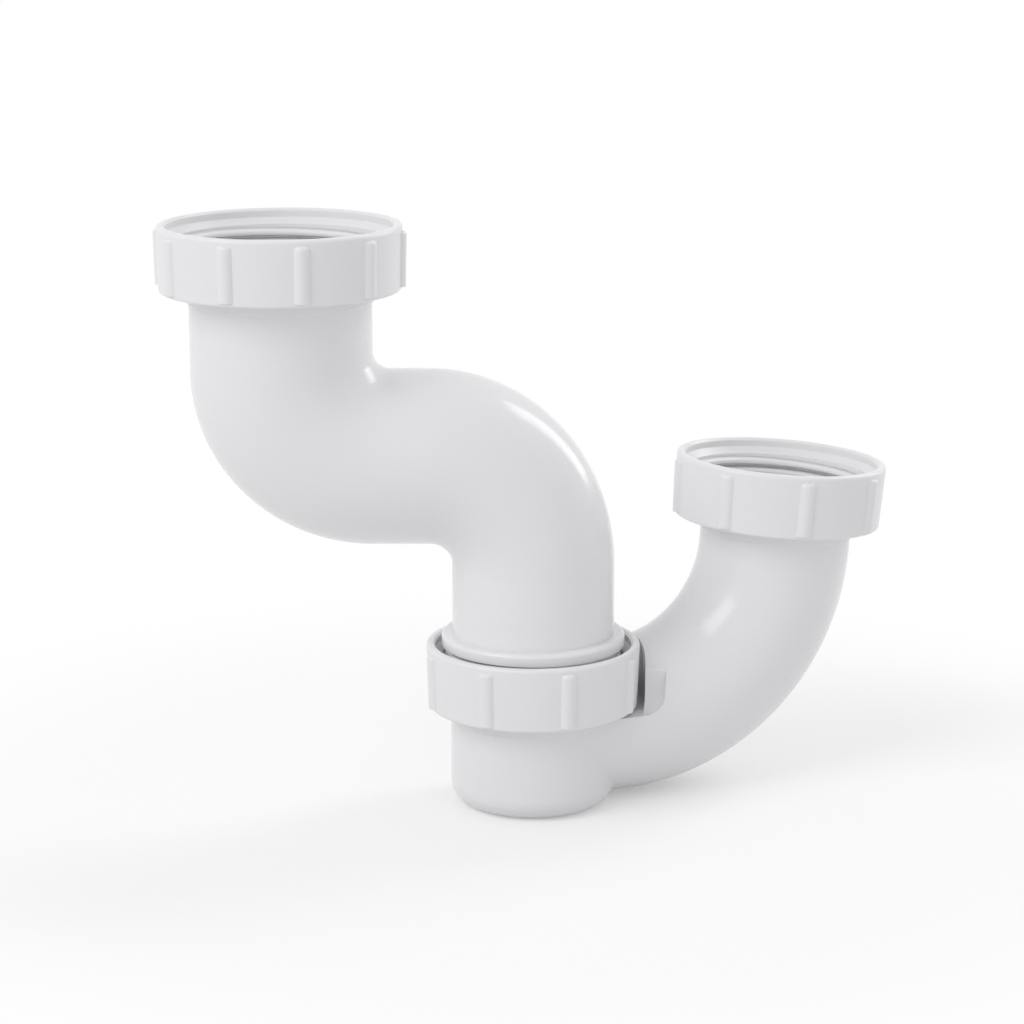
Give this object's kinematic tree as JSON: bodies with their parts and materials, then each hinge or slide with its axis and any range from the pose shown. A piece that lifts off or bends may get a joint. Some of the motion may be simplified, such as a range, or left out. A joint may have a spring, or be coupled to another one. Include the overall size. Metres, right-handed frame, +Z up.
{
  "type": "s trap",
  "caption": "White plastic sink trap: an S-shaped inlet bend with a ribbed nut swivels on a cup whose outlet bend turns up to a second ribbed nut.",
  "frame": {"origin": "centre of the flat underside of the cup, on the axis of the union", "axes": "+Z up along the union's axis, the way the inlet mouth faces; -X towards the inlet leg; the outlet stands 22 degrees round from +X towards +Y"},
  "size_m": [0.1683, 0.0762, 0.1341],
  "materials": {
    "moulded_bend": "glossy white polypropylene with slightly soft highlights",
    "moulded_nut": "satin white polypropylene",
    "flat_washer": "soft pale polyethylene"
  },
  "bodies": {
    "body": {"trap_body": "moulded_bend", "union_washer": "flat_washer", "outlet_washer": "flat_washer"},
    "bend": {"inlet_bend": "moulded_bend", "inlet_washer": "flat_washer"},
    "inlet_ring": {"inlet_nut": "moulded_nut"},
    "union_ring": {"union_nut": "moulded_nut"},
    "outlet_ring": {"outlet_nut": "moulded_nut"}
  },
  "joints": [
    {"name": "union_swivel", "type": "hinge", "parent": "body", "child": "bend", "pos_m": [0, 0, 0.0378], "axis": [0, 0, 1], "range_deg": [-105, 150]},
    {"name": "union_nut_turn", "type": "hinge", "parent": "body", "child": "union_ring", "pos_m": [0, 0, 0.023], "axis": [0, 0, 1], "continuous": true},
    {"name": "inlet_nut_turn", "type": "hinge", "parent": "bend", "child": "inlet_ring", "pos_m": [-0.0566, 0, 0.1193], "axis": [0, 0, 1], "continuous": true},
    {"name": "outlet_nut_turn", "type": "hinge", "parent": "body", "child": "outlet_ring", "pos_m": [0.05733, 0.02316, 0.06115], "axis": [0.0679, 0.0274, 0.9973], "continuous": true}
  ]
}
